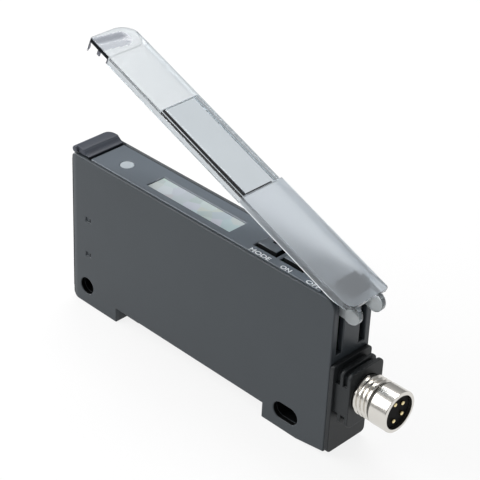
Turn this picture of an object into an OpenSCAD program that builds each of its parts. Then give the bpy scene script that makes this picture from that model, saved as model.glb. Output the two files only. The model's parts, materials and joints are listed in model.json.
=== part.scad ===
// Slim fibre optic sensor amplifier for rail mounting, with a hinged clear cover and an M8 plug.
// X runs from the fibre end to the plug end, Y across the width, Z up from the feet.

/* [Housing] */
// Length of the housing between its end faces
body_l = 67.65; // [64:0.05:76]
// Width of the housing
body_w = 10; // [9.8:0.1:12]
// Height from the feet to the top face
body_h = 32.95; // [32:0.05:38]
// Thickness of the two side walls
wall = 1; // [0.9:0.05:1.2]
// Thickness of the two end walls
end_wall = 1.2; // [1:0.05:1.6]
// Thickness of the roof over the hinge
roof_t = 0.95; // [0.7:0.05:1]
// Radius of the bottom corner at the fibre end
toe_r = 2; // [0.5:0.1:2.4]
// Radius of the upright edges at the fibre end
edge_r = 0.6; // [0.3:0.05:1]

/* [Rail foot] */
// Distance from the fibre end to the rail gap
gap_x = 13.1; // [12:0.1:14]
// Length of the rail gap
gap_l = 39.35; // [38:0.05:41]
// Height of the rail gap
gap_h = 3.13; // [2.6:0.01:3.3]
// Reach of the hook that takes the rail's edge
hook_l = 3.7; // [2:0.1:5]
// Thickness of the hook
hook_h = 1.2; // [0.8:0.1:1.4]
// Width of the hook
hook_w = 4.8; // [3:0.1:8]
// Height of the hook over the feet
hook_lift = 0.3; // [0.1:0.05:0.5]
// Length of the ramp under the plug end
ramp_l = 6.65; // [3:0.05:9]
// Rise of that ramp
ramp_h = 1; // [0.3:0.05:1.2]

/* [Fixing holes] */
// Diameter of the round fixing hole
hole_d = 3.5; // [3:0.1:3.6]
// Distance of the round hole from the fibre end
hole_x = 4.58; // [4:0.02:6]
// Height of the round hole
hole_z = 4.29; // [3.9:0.01:4.6]
// Width of the long fixing hole
slot_w = 3.4; // [3:0.1:3.5]
// Length of the long fixing hole
slot_l = 5.8; // [4:0.1:7]
// Distance of the long hole from the plug end
slot_from_end = 9.45; // [8.6:0.05:10.5]
// Height of the long hole
slot_z = 4.05; // [3.8:0.05:4.4]

/* [Fibre ports] */
// Diameter of the two fibre ports
port_d = 2.3; // [2.2:0.05:2.6]
// Height of the lower port
port_z = 11.85; // [11:0.05:13]
// Distance between the ports
port_pitch = 7.85; // [6.5:0.05:8.5]
// Diameter of the emitter and the receiver
optic_d = 3.1; // [2.8:0.1:3.4]
// Length of the block that guides the fibres
holder_l = 10.3; // [9.5:0.1:10.6]
// Distance from the fibre end to the clamp plate
clamp_x = 4.4; // [4.2:0.05:4.8]
// Thickness of the clamp plate
clamp_t = 1.25; // [0.8:0.05:1.4]

/* [Top panel] */
// Thickness of the top panel
panel_t = 0.6; // [0.5:0.05:0.8]
// Width of the rims beside the panel
rim_w = 0.6; // [0.5:0.05:0.65]
// Seam round the panel
panel_gap = 0.2; // [0.15:0.05:0.25]
// Distance from the fibre end to the panel
panel_x = 4.9; // [4.9:0.05:5.4]
// Distance from the panel to the plug end
panel_from_end = 3.85; // [3.8:0.05:4.1]
// Line on which window, lens and keys lie
row_y = -0.5; // [-0.8:0.05:0.2]
// Start of the display window
window_x = 18.9; // [17:0.1:20]
// Length of the display window
window_l = 21.3; // [18:0.1:24]
// Width of the display window
window_w = 4.25; // [3:0.05:4.6]
// Depth of the window pane under the panel's face
window_d = 0.25; // [0.1:0.05:0.35]
// Place of the round indicator
lens_x = 11.1; // [10.5:0.1:13]
// Diameter of the round indicator
lens_d = 2.7; // [2:0.1:3.4]

/* [Keys] */
// Distance from the last key's centre to the plug end
key_from_end = 6.4; // [6.3:0.05:6.9]
// Distance from key to key
key_pitch = 6.25; // [5.9:0.05:6.3]
// Length of a key cap
key_l = 4.5; // [3.6:0.1:4.6]
// Width of a key cap
key_w = 2.6; // [2:0.1:3]
// Height of a key cap over the panel
key_rise = 0.5; // [0.2:0.05:0.6]
// Gap round a key cap
key_gap = 0.45; // [0.3:0.05:0.5]
// Travel of a key
key_travel = 0.25; // [0.15:0.05:0.3]

/* [Lock lever] */
// Radius of the rounded corner about the lever's pivot
pivot_r = 1.8; // [1.6:0.05:1.9]
// Far edge of the lever on the top face
lever_x = 4.85; // [4.4:0.05:4.9]
// Distance of the lever's ridge from the fibre end
ridge_x = 1.3; // [1.2:0.05:1.8]
// Height of the lever's ridge over the top face
ridge_h = 1.45; // [1.2:0.01:1.55]
// Radius of the rolled ridge
ridge_r = 0.66; // [0.5:0.02:0.7]
// Distance of the lever's brow from the fibre end
brow_x = 3.4; // [3.1:0.05:3.5]
// Radius of the hollow thumb face under the brow
thumb_r = 3.7; // [3:0.1:4.4]
// Large corner radius of the lever
lever_r = 2.5; // [1.5:0.1:3]
// Clearance of the lever beside the cover's catch
lever_side = 0.2; // [0.15:0.05:0.4]

/* [Cover] */
// Angle at which the cover stands open
open_deg = 21.5; // [5:0.5:60]
// Radius of the rounded corner about the cover's hinge
hinge_r = 2.05; // [1.9:0.05:2.1]
// Clear height between the top face and the cover
cover_clear = 1.2; // [1.15:0.05:2]
// Thickness of the cover's top
cover_t = 0.9; // [0.8:0.05:1.2]
// Thickness of the cover's skirts
skirt_t = 0.48; // [0.4:0.02:0.5]
// Inset of the cover from the housing's sides
cover_inset = 0.1; // [0.05:0.05:0.15]
// Start of the cover at the fibre end
cover_x = 0; // [0:0.1:0.3]
// Overhang of the cover past the plug end
cover_over = 2; // [1.9:0.05:3]
// Thickness of the cover over the lever
nose_t = 0.5; // [0.4:0.05:0.6]
// Large corner radius at the nose
nose_r = 4.3; // [2:0.1:4.6]
// Small corner radius at the nose
nose_edge_r = 0.3; // [0.2:0.05:0.6]
// Front corner radius at the hinge
hinge_edge_r = 2; // [1:0.1:2.2]
// Back corner radius at the hinge
corner_r = 0.6; // [0.4:0.1:1.5]
// Start of the thinned display field
field_x = 19.8; // [12:0.1:22]
// Length of the thinned display field
field_l = 22.2; // [15:0.1:26]
// Depth of the thinned display field
field_d = 0.5; // [0.3:0.05:0.6]
// Radius along the sides of the thinned display field
field_r = 0.9; // [0.6:0.05:1.2]
// Radius of the cover's back edge, from the nose to the end of that field
back_r = 0.85; // [0.4:0.05:0.9]
// Distance between the hinge legs
leg_pitch = 5.8; // [5.4:0.1:5.8]
// Thickness of a hinge leg
leg_t = 0.95; // [0.7:0.05:1]
// Radius of a leg's round heel
heel_r = 1.95; // [1.5:0.05:2]
// Distance from the hinge to the heel
heel_x = 3.9; // [3.5:0.1:4]
// Height of the heel over the hinge
heel_z = 1.6; // [0.6:0.1:1.8]
// Bottom of the slots that the legs swing in
leg_slot_z = 21.4; // [21:0.1:22.5]

/* [Plug] */
// Height of the plug's axis
plug_z = 14.2; // [13.8:0.05:14.5]
// Outer diameter of the plug's sleeve
plug_d = 8; // [7.8:0.05:8.2]
// Diameter over the threaded part
thread_d = 7.9; // [7.6:0.05:8]
// Length of the threaded part
thread_l = 3.6; // [3:0.1:4]
// Width of the sealing groove
groove_w = 0.6; // [0.5:0.05:0.8]
// Thickness of the sealing ring
ring_d = 0.36; // [0.3:0.02:0.4]
// Depth of the sealing ring under the sleeve's face
ring_sink = 0.1; // [0.04:0.02:0.14]
// Length of the smooth sleeve
sleeve_l = 3.5; // [3:0.1:5]
// Bore of the sleeve
sleeve_bore = 6.6; // [6.2:0.05:6.8]
// Depth of the insert's face in the sleeve
insert_d = 0.7; // [0.3:0.05:1.5]
// Diameter of a contact pin
contact_d = 0.8; // [0.6:0.05:1]
// Height of the contact pins over the insert
contact_h = 0.4; // [0.2:0.05:0.6]
// Thickness of the end plate that carries the plug
plate_t = 0.9; // [0.6:0.05:1.2]
// Top of the end plate
plate_top = 20.1; // [19.8:0.05:20.6]
// Width of the ribbed block
block_w = 8.6; // [8.4:0.1:9.2]
// Height of the ribbed block
block_h = 11.5; // [10.5:0.1:12]
// Thickness of a rib
rib_t = 0.7; // [0.6:0.05:1]
// Width of the groove between ribs
rib_gap = 0.95; // [0.4:0.05:1]
// Depth of the groove between ribs
rib_d = 0.65; // [0.3:0.05:0.7]

/* [Fits] */
// Running clearance of a hinge pin
run_fit = 0.05; // [0.02:0.01:0.08]
// Clearance of seated pieces
seat_fit = 0.02; // [0.01:0.01:0.05]
// Clearance between moving pieces
move_gap = 0.25; // [0.2:0.01:0.28]
// Diameter of the two hinge pins
pin_d = 1; // [0.8:0.05:1]
// Depth of a hinge pin's seat in the side walls
pin_seat = 0.6; // [0.4:0.05:0.7]
// Thickness of the boards
board_t = 1; // [0.8:0.05:1.1]

/* [Hidden] */
$fn = 48;
// Places that follow from the sizes
half_w = body_w / 2;
bay_half = half_w - wall;
seam_y = -bay_half;
pocket_half = half_w - rim_w;
panel_half = pocket_half - panel_gap;
panel_end = body_l - panel_from_end;
panel_z = body_h - panel_t;
floor_z = gap_h + end_wall;
foot_z = hole_z + hole_d / 2 + wall;
gap_end = gap_x + gap_l;
slot_x = body_l - slot_from_end;
pivot_x = pivot_r;
pivot_z = body_h - pivot_r;
hinge_x = body_l - hinge_r;
hinge_z = body_h - hinge_r;
ports = [port_z, port_z + port_pitch];
// The lever's cam lies over the foot of the fibre clamp
cam = [0.9, -1.1];
cam_r = 0.9;
clamp_half = 2.2;
clamp_z = port_z - port_d / 2 - 1.35;
clamp_top = pivot_z + cam[1] - cam_r - move_gap;
// Boards and switches hang under the panel
keys = [for (i = [0:2]) body_l - key_from_end - (2 - i) * key_pitch];
flange_t = 0.45;
flange_z = panel_z - move_gap - flange_t;
switch_h = 0.6;
switch_w = 3;
plunger_d = 1.8;
board_z = flange_z - key_travel - 0.15 - switch_h - board_t;
board_y = bay_half - 0.4 - board_t;
board_x = end_wall + holder_l + 0.7;
// Chips on the upright board, each smaller than the one before
chip_w = 7;
chip_gap = 4;
chip_t = 1;
chip_z = floor_z + 8.7;
window_y = row_y - window_w / 2 + 0.1;
lens_y = row_y + 0.1;
pane_top = body_h - window_d;
pane_z = panel_z - 0.1;
// Cover
cover_half = half_w - cover_inset;
cover_end = body_l + cover_over;
cover_z = body_h + cover_clear;
cover_top = cover_z + cover_t;
inner_half = cover_half - skirt_t;
// Catch and latch prong at the cover's nose
catch_t = 0.3;
latch_t = 0.3;
latch_w = 0.6;
latch_z = 0.5;
latch_gap = 0.06;
lever_half = cover_half - catch_t - lever_side;
skirt_z = body_h + move_gap;
skirt_x = lever_x + move_gap;
field_end = field_x + field_l;
leg_y = leg_pitch / 2;
leg_slot = leg_t + 2 * move_gap * 0.9;
// Plug
plate_x = body_l + plate_t;
block_end = plate_x + 2 * (rib_gap + rib_t);
block_z = plug_z - block_h / 2 - 0.35;
groove_x = block_end + thread_l;
sleeve_x = groove_x + groove_w;
plug_end = sleeve_x + sleeve_l;
insert_x = block_end - rib_t - 0.5;
insert_end = plug_end - insert_d;
insert_r = sleeve_bore / 2 - seat_fit;
spigot_r = sleeve_bore / 2 + 0.3;
contacts = [[-0.75, 1.75], [-0.75, -1.75], [1.3, 1.1], [1.3, -1.1]];
contact_x = body_l - end_wall - 1.9;
spigot_w = 6.4;
spigot_h = 8.6;
// The origin lies under the middle of the whole object
frame_x = plug_end / 2;

function arc(x, y, r, a0, a1, n = 8) =
  [for (i = [0:n]) let (a = a0 + (a1 - a0) * i / n) [x + r * cos(a), y + r * sin(a)]];

// Puts a piece in the object's frame
module place() {
  translate([-frame_x, 0, 0]) children();
}

// Extrudes an outline drawn in X and Z across the width
module across(y0, y1) {
  translate([0, y1, 0]) rotate([90, 0, 0]) linear_extrude(y1 - y0) children();
}

// Extrudes an outline drawn in Y and Z along the length
module along(x0, x1) {
  translate([x0, 0, 0]) rotate([90, 0, 90]) linear_extrude(x1 - x0) children();
}

// A round bar across the width
module bar_y(x, z, r, y0, y1) {
  translate([x, y1, z]) rotate([90, 0, 0]) cylinder(r = r, h = y1 - y0);
}

// A round bar along the length
module bar_x(y, z, r, x0, x1) {
  translate([x0, y, z]) rotate([0, 90, 0]) cylinder(r = r, h = x1 - x0);
}

// A box between two corners
module box(a, b) {
  translate(a) cube(b - a);
}

// Outline of the housing seen from the side
module side_outline() {
  polygon(concat(
    arc(toe_r, toe_r, toe_r, 180, 270),
    [[gap_x, 0], [gap_x, gap_h], [gap_end, gap_h], [gap_end, 0]],
    [[body_l - ramp_l, 0], [body_l, ramp_h]],
    arc(hinge_x, hinge_z, hinge_r, 0, 90),
    arc(pivot_x, pivot_z, pivot_r, 90, 180)
  ));
}

// Outline of the housing seen from above
module plan_outline() {
  polygon(concat(
    arc(edge_r, edge_r - half_w, edge_r, 180, 270),
    [[body_l, -half_w], [body_l, half_w]],
    arc(edge_r, half_w - edge_r, edge_r, 90, 180)
  ));
}

module housing_blank(y0, y1) {
  intersection() {
    across(y0, y1) side_outline();
    translate([0, 0, -1]) linear_extrude(body_h + 2) plan_outline();
  }
}

// Holes and seats that run through both housing halves
module shared_cuts() {
  bar_y(hole_x, hole_z, hole_d / 2, -body_w, body_w);
  across(-body_w, body_w) {
    for (s = [-1, 1]) translate([slot_x + s * (slot_l - slot_w) / 2, slot_z]) circle(slot_w / 2);
    translate([slot_x - (slot_l - slot_w) / 2, slot_z - slot_w / 2]) square([slot_l - slot_w, slot_w]);
  }
  box([panel_x, -pocket_half, panel_z], [panel_end, pocket_half, body_h + 1]);
  pin_reach = bay_half + pin_seat;
  bar_y(pivot_x, pivot_z, pin_d / 2, -pin_reach, pin_reach);
  bar_y(hinge_x, hinge_z, pin_d / 2, -pin_reach, pin_reach);
}

// Inside of the housing, with raised floors over the fixing holes
module cavity_outline() {
  roof_z = body_h - roof_t;
  polygon([
    [end_wall, foot_z], [gap_x + end_wall, foot_z], [gap_x + end_wall, floor_z],
    [gap_end - end_wall, floor_z], [gap_end - end_wall, foot_z], [body_l - end_wall, foot_z],
    [body_l - end_wall, roof_z], [end_wall, roof_z]
  ]);
}

// Housing half with the feet, the rail hook, the floor and both ends
module case() {
  color("#4d5357") place() {
    difference() {
      housing_blank(seam_y, half_w);
      across(seam_y - 1, bay_half) cavity_outline();
      box([panel_x, seam_y - 1, panel_z - 1], [panel_end, bay_half, body_h + 1]);
      box([-1, seam_y - 1, pivot_z - pivot_r - move_gap], [panel_x + 0.2, bay_half, body_h + 1]);
      for (s = [-1, 1]) {
        translate([0, s * leg_y, 0])
          box([hinge_x - 1.6, -leg_slot / 2, leg_slot_z], [body_l + 1, leg_slot / 2, body_h + 1]);
      }
      box(
        [body_l - end_wall - 1, -spigot_w / 2 - seat_fit, plug_z - spigot_h / 2 - seat_fit],
        [body_l + 1, spigot_w / 2 + seat_fit, plug_z + spigot_h / 2 + seat_fit]
      );
      for (z = ports) bar_x(0, z, port_d / 2, -1, end_wall + 1);
      shared_cuts();
    }
    box([gap_x - 1, -hook_w / 2, hook_lift], [gap_x + hook_l, hook_w / 2, hook_lift + hook_h]);
    for (x = [gap_x + 4, gap_end - 3], z = [floor_z + 8, board_z - 4])
      bar_y(x, z, 1.2, board_y + board_t, bay_half + 0.1);
  }
}

// Flat half that closes the housing, with two index marks at the ports
module side_cover() {
  color("#50565a") place() difference() {
    housing_blank(-half_w, seam_y);
    shared_cuts();
    for (z = ports) box([clamp_x, -half_w - 1, z - 0.4], [clamp_x + clamp_t, -half_w + 0.25, z + 0.4]);
  }
}

// Outline of the openings for the keys
module key_wells() {
  for (x = keys)
    translate([x - key_l / 2 - key_gap, row_y - key_w / 2 - key_gap])
      square([key_l + 2 * key_gap, key_w + 2 * key_gap]);
}

// Glossy panel with the window, the indicator and the key wells, on two ribs
module top_panel() {
  color("#757c84") place() {
    translate([0, 0, panel_z]) linear_extrude(panel_t) difference() {
      translate([panel_x + panel_gap, -panel_half])
        square([panel_end - panel_x - 2 * panel_gap, 2 * panel_half]);
      translate([window_x, window_y]) square([window_l, window_w]);
      translate([lens_x, lens_y]) circle(lens_d / 2);
      key_wells();
    }
    for (s = [-1, 1])
      translate([panel_x + 0.6, s * (bay_half - 0.35) - 0.3, panel_z - 0.6])
        cube([panel_end - panel_x - 1.2, 0.6, 0.6]);
  }
}

// Pane in the display opening
module display_window() {
  color("#c8ced2") place()
    box(
      [window_x + seat_fit, window_y + seat_fit, pane_z],
      [window_x + window_l - seat_fit, window_y + window_w - seat_fit, pane_top]
    );
}

// Liquid crystal cell under the pane
module display_module() {
  color("#b9c0b8") place()
    box(
      [window_x - 0.7, window_y - 0.6, board_z + board_t],
      [window_x + window_l + 0.7, window_y + window_w + 0.6, pane_z]
    );
}

// Round indicator with a flange under the panel
module indicator_lens() {
  color("#d5d9dc") place() translate([lens_x, lens_y, 0]) {
    translate([0, 0, panel_z - 0.5]) cylinder(d = lens_d + 0.8, h = 0.5);
    translate([0, 0, panel_z]) cylinder(d = lens_d - 2 * seat_fit, h = panel_t - 0.05);
  }
}

// Light source under the round indicator
module indicator_led() {
  color("#e8e2c8") place()
    translate([lens_x - 0.8, lens_y - 0.4, board_z + board_t]) cube([1.6, 0.8, 0.5]);
}

// Key cap with a flange that holds it under the panel
module key_cap(x) {
  color("#6b7178") place() translate([x, row_y, 0]) {
    translate([-key_l / 2, -key_w / 2, flange_z]) cube([key_l, key_w, body_h + key_rise - flange_z]);
    translate([-key_l / 2, -key_w / 2 - key_gap - 0.35, flange_z])
      cube([key_l, key_w + 2 * key_gap + 0.7, flange_t]);
  }
}

module mode_key() {
  key_cap(keys[0]);
}

module on_key() {
  key_cap(keys[1]);
}

module off_key() {
  key_cap(keys[2]);
}

// Push switches under the keys
module tact_switches() {
  color("#c9ccd0") place() for (x = keys) translate([x, row_y, board_z + board_t]) {
    translate([-switch_w / 2, -switch_w / 2, 0]) cube([switch_w, switch_w, switch_h * 2 / 3]);
    cylinder(d = plunger_d, h = switch_h);
  }
}

// Board that carries the display, the indicator and the switches
module panel_board() {
  color("#2f6b45") place()
    box(
      [panel_x + 3, -board_y - board_t, board_z],
      [panel_end - 0.8, board_y + board_t, board_z + board_t]
    );
}

// Upright board on four bosses of the case
module main_board() {
  color("#2f6b45") place() across(board_y, board_y + board_t) {
    z0 = foot_z + 0.4;
    translate([board_x, z0]) square([panel_end - 0.8 - board_x, board_z - z0]);
    translate([board_x, z0]) square([body_l - end_wall - 0.4 - board_x, plate_top - z0]);
  }
}

// Chips on the upright board
module board_chips() {
  color("#222326") place()
    for (i = [0:2])
      translate([board_x + 2.8 * chip_gap + i * (chip_w + chip_gap), board_y - chip_t, chip_z])
        cube([chip_w * (1 - i * 0.2), chip_t, chip_w * (1 - i * 0.15)]);
}

// Block that guides both fibres to the optics
module fibre_holder() {
  color("#33373a") place() difference() {
    box(
      [end_wall, -bay_half + 0.1, foot_z],
      [end_wall + holder_l, bay_half - 0.1, ports[1] + optic_d / 2 + 1.4]
    );
    for (z = ports) {
      bar_x(0, z, port_d / 2, 0, end_wall + holder_l + 1);
      bar_x(0, z, optic_d / 2, end_wall + holder_l - 3.5, end_wall + holder_l + 1);
    }
    box(
      [clamp_x - run_fit, -clamp_half - run_fit, clamp_z - move_gap],
      [clamp_x + clamp_t + run_fit, clamp_half + run_fit, body_h]
    );
  }
}

// Sliding plate that the lever's cam holds down on the fibres
module fibre_clamp() {
  color("#9a9da0") place() difference() {
    union() {
      box([clamp_x, -clamp_half, clamp_z], [clamp_x + clamp_t, clamp_half, clamp_top]);
      box([pivot_x + 0.2, -clamp_half, clamp_top - 1], [clamp_x + 0.1, clamp_half, clamp_top]);
    }
    for (z = ports) bar_x(0, z, port_d / 2, 0, gap_x);
  }
}

// Domed light component in the holder's pocket
module optic(z) {
  x = end_wall + holder_l;
  color("#cfd6dc") place() {
    bar_x(0, z, optic_d / 2 - seat_fit, x - 2.4, x);
    intersection() {
      translate([x - 2.4, 0, z]) sphere(r = port_d / 2 - 0.1);
      bar_x(0, z, optic_d / 2, x - 3.5, x - 2.4);
    }
  }
}

module emitter_led() {
  optic(ports[1]);
}

module receiver_diode() {
  optic(ports[0]);
}

// Outline of the lever's top seen from above, with one large corner
module lever_plan() {
  x0 = ridge_x - ridge_r;
  polygon(concat(
    [[x0, -lever_half], [lever_x, -lever_half], [lever_x, lever_half]],
    arc(x0 + lever_r, lever_half - lever_r, lever_r, 90, 180, 12)
  ));
}

// Outline of the lever's top from the side: a rolled front, a flat top and a hollow thumb face
module ridge_outline() {
  base_z = body_h + 0.15;
  top_z = body_h + ridge_h;
  lip_z = base_z + 0.1;
  // The thumb face runs from the brow to the lip
  run = [lever_x - brow_x, lip_z - top_z];
  lift = sqrt(thumb_r * thumb_r - norm(run) * norm(run) / 4);
  middle = [brow_x, top_z] + run / 2 + [-run[1], run[0]] * lift / norm(run);
  difference() {
    polygon([[ridge_x, base_z], [lever_x, base_z], [lever_x, lip_z], [brow_x, top_z], [ridge_x, top_z]]);
    translate(middle) circle(thumb_r, $fn = 96);
  }
  translate([ridge_x, top_z - ridge_r]) circle(ridge_r);
}

// Lever with a round hub in the housing's corner, a cam inside and a ridge on top
module lock_lever() {
  color("#464a52") place() difference() {
    union() {
      hub_half = bay_half - 0.15;
      bar_y(pivot_x, pivot_z, pivot_r - 0.1, -hub_half, hub_half);
      bar_y(pivot_x + cam[0], pivot_z + cam[1], cam_r, -clamp_half, clamp_half);
      box([pivot_x - 0.6, -hub_half, pivot_z], [pivot_x + 1.5, hub_half, body_h + 0.2]);
      intersection() {
        across(-lever_half, lever_half) ridge_outline();
        translate([0, 0, body_h]) linear_extrude(ridge_h + 1) lever_plan();
      }
      bar_y(ridge_x, body_h + ridge_h - ridge_r, ridge_r, -cover_half, 0.1 - lever_half);
    }
    bar_y(pivot_x, pivot_z, pin_d / 2 + run_fit, -body_w, body_w);
  }
}

module hinge_rod(x, z) {
  color("#b8bcc0") place()
    bar_y(x, z, pin_d / 2, -bay_half - pin_seat, bay_half + pin_seat);
}

module lever_pin() {
  hinge_rod(pivot_x, pivot_z);
}

module hinge_pin() {
  hinge_rod(hinge_x, hinge_z);
}

// Outline of the cover seen from above, with one large corner at the nose
module cover_plan() {
  polygon(concat(
    arc(cover_x + nose_edge_r, nose_edge_r - cover_half, nose_edge_r, 180, 270),
    arc(cover_end - hinge_edge_r, hinge_edge_r - cover_half, hinge_edge_r, 270, 360, 12),
    arc(cover_end - corner_r, cover_half - corner_r, corner_r, 0, 90),
    arc(cover_x + nose_r, cover_half - nose_r, nose_r, 90, 180)
  ));
}

// Outline of a skirt, which rises over the hinge
module skirt_outline() {
  rise_z = skirt_z + 0.55;
  polygon([
    [skirt_x, skirt_z], [hinge_x, skirt_z], [hinge_x + 2.6, rise_z],
    [cover_end - corner_r, rise_z], [cover_end - corner_r, cover_z + 0.1], [skirt_x, cover_z + 0.1]
  ]);
}

// Outline of the small catch beside the lever
module catch_outline() {
  translate([cover_x + 2.5, skirt_z - 0.1]) square([0.75, cover_z - skirt_z + 0.2]);
}

// Outline of the latch prong in front of the lever, which follows the housing's round corner
module latch_outline() {
  reach = pivot_r + latch_gap;
  difference() {
    translate([cover_x, pivot_z + latch_z]) square([latch_t, cover_z + 0.1 - pivot_z - latch_z]);
    translate([pivot_x, pivot_z]) circle(reach);
  }
}

// Outline of a hinge leg: an eye on the pin and a round heel past the end face
module leg_outline() {
  eye_r = 1.25;
  top = cover_z - hinge_z + 0.1;
  translate([hinge_x, hinge_z]) {
    circle(eye_r);
    translate([heel_x, heel_z]) circle(heel_r);
    polygon([
      [-eye_r, 0], [-0.7, top], [cover_end - hinge_x - 0.2, top],
      [heel_x + heel_r, heel_z], [heel_x - 0.6, heel_z - heel_r * 0.95], [0.3, -eye_r * 0.97]
    ]);
  }
}

// Hollow over the lever, with one round corner
module nose_hollow() {
  r = nose_r / 2;
  hollow_x = skirt_x + move_gap;
  polygon(concat(
    [[cover_x - 1, inner_half], [cover_x - 1, -inner_half], [hollow_x, -inner_half]],
    arc(hollow_x - r, inner_half - r, r, 0, 90)
  ));
}

// Section of the hollow under the display field, with rounded sides
module field_outline() {
  side = inner_half - 0.1 - field_r;
  top = cover_z + field_d;
  for (y = [-side, side]) translate([y, top - field_r]) circle(field_r, $fn = 96);
  translate([-side, cover_z - 1]) square([2 * side, field_d + 1]);
}

// What the round of the back edge takes off
module back_round() {
  translate([cover_half - back_r, cover_top - back_r]) difference() {
    square(back_r + 1);
    circle(back_r, $fn = 96);
  }
}

// Cover as it lies when shut
module cover_shut() {
  difference() {
    union() {
      translate([0, 0, cover_z]) linear_extrude(cover_t) cover_plan();
      intersection() {
        union() {
          for (s = [-1, 1])
            translate([0, s * (cover_half - skirt_t / 2), 0])
              across(-skirt_t / 2, skirt_t / 2) skirt_outline();
          across(-cover_half, catch_t - cover_half) catch_outline();
          across(-cover_half, latch_w - cover_half) latch_outline();
        }
        linear_extrude(cover_top) cover_plan();
      }
      for (s = [-1, 1])
        translate([0, s * leg_y, 0]) across(-leg_t / 2, leg_t / 2) leg_outline();
    }
    translate([0, 0, cover_z - 1]) linear_extrude(cover_t - nose_t + 1) nose_hollow();
    along(field_x, field_end) field_outline();
    along(cover_x - 1, field_end) back_round();
    bar_y(hinge_x, hinge_z, pin_d / 2 + run_fit, -body_w, body_w);
  }
}

// Clear cover, standing open
module clear_cover() {
  color("#dce2e6", 0.4) place()
    translate([hinge_x, 0, hinge_z]) rotate([0, open_deg, 0]) translate([-hinge_x, 0, -hinge_z])
      cover_shut();
}

// Rounded outline in Y and Z
module rounded_yz(w, z0, z1, r) {
  translate([r - w / 2, z0]) square([w - 2 * r, z1 - z0]);
  translate([-w / 2, z0 + r]) square([w, z1 - z0 - 2 * r]);
  for (y = [r - w / 2, w / 2 - r], z = [z0 + r, z1 - r]) translate([y, z]) circle(r);
}

// End plate and ribbed block that carry the plug
module connector_block() {
  color("#34353a") place() difference() {
    union() {
      along(body_l, plate_x) rounded_yz(body_w - 0.1, ramp_h + 0.1, plate_top, 0.9);
      along(plate_x, block_end) rounded_yz(block_w - 2 * rib_d, block_z + rib_d, block_z + block_h - rib_d, 1);
      for (i = [1:2])
        along(plate_x + i * (rib_gap + rib_t) - rib_t, plate_x + i * (rib_gap + rib_t))
          rounded_yz(block_w, block_z, block_z + block_h, 1.2);
      box(
        [plate_x - 0.1, -block_w / 2, block_z + 2.3],
        [block_end - rib_t / 2, -block_w / 2 + rib_d + 0.1, block_z + block_h - 3]
      );
      box(
        [body_l - end_wall, -spigot_w / 2, plug_z - spigot_h / 2],
        [body_l + 0.1, spigot_w / 2, plug_z + spigot_h / 2]
      );
    }
    bar_x(0, plug_z, spigot_r + seat_fit, block_end - rib_t, block_end + 1);
    bar_x(0, plug_z, insert_r + seat_fit, insert_x, block_end + 1);
    for (c = contacts) bar_x(c[0], plug_z + c[1], contact_d / 2 + seat_fit, body_l - 3, block_end);
  }
}

// Plated shell: spigot, threaded part, sealing groove and smooth sleeve
module connector_shell() {
  bore = sleeve_bore / 2;
  thread_r = thread_d / 2;
  plug_r = plug_d / 2;
  groove_r = plug_r - ring_d - ring_sink;
  color("#d9dadb") place() translate([0, 0, plug_z]) rotate([0, 90, 0])
    rotate_extrude($fn = 96)
      polygon([
        [bore, block_end - rib_t], [spigot_r, block_end - rib_t], [spigot_r, block_end],
        [thread_r, block_end], [thread_r, groove_x], [groove_r, groove_x], [groove_r, sleeve_x],
        [plug_r, sleeve_x], [plug_r, plug_end - 0.2], [plug_r - 0.2, plug_end], [bore, plug_end]
      ]);
}

// Sealing ring in the groove
module seal_ring() {
  color("#1d1e20") place() translate([(groove_x + sleeve_x) / 2, 0, plug_z]) rotate([0, 90, 0])
    rotate_extrude($fn = 96) translate([(plug_d - ring_d) / 2 - ring_sink, 0]) circle(ring_d / 2, $fn = 24);
}

// Insulating insert that holds the contacts
module connector_insert() {
  color("#17181a") place() difference() {
    bar_x(0, plug_z, insert_r, insert_x, insert_end);
    for (c = contacts) bar_x(c[0], plug_z + c[1], contact_d / 2 + seat_fit, insert_x - 1, plug_end);
  }
}

// Contact pins, run through to the inside
module contact_pins() {
  color("#d8c48a") place()
    for (c = contacts)
      bar_x(c[0], plug_z + c[1], contact_d / 2, contact_x, insert_end + contact_h);
}

// Leads from the contacts to the upright board
module lead_wires() {
  color("#b5763c") place()
    for (c = contacts)
      bar_y(contact_x + 0.5, plug_z + c[1], 0.3, c[0] + contact_d / 2, board_y);
}

case();
side_cover();
top_panel();
display_window();
display_module();
indicator_lens();
indicator_led();
mode_key();
on_key();
off_key();
tact_switches();
panel_board();
main_board();
board_chips();
fibre_holder();
fibre_clamp();
emitter_led();
receiver_diode();
lock_lever();
lever_pin();
clear_cover();
hinge_pin();
connector_block();
connector_shell();
seal_ring();
connector_insert();
contact_pins();
lead_wires();
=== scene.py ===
import json
import math

import bmesh
import bpy
from mathutils import Matrix, Vector


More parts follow.
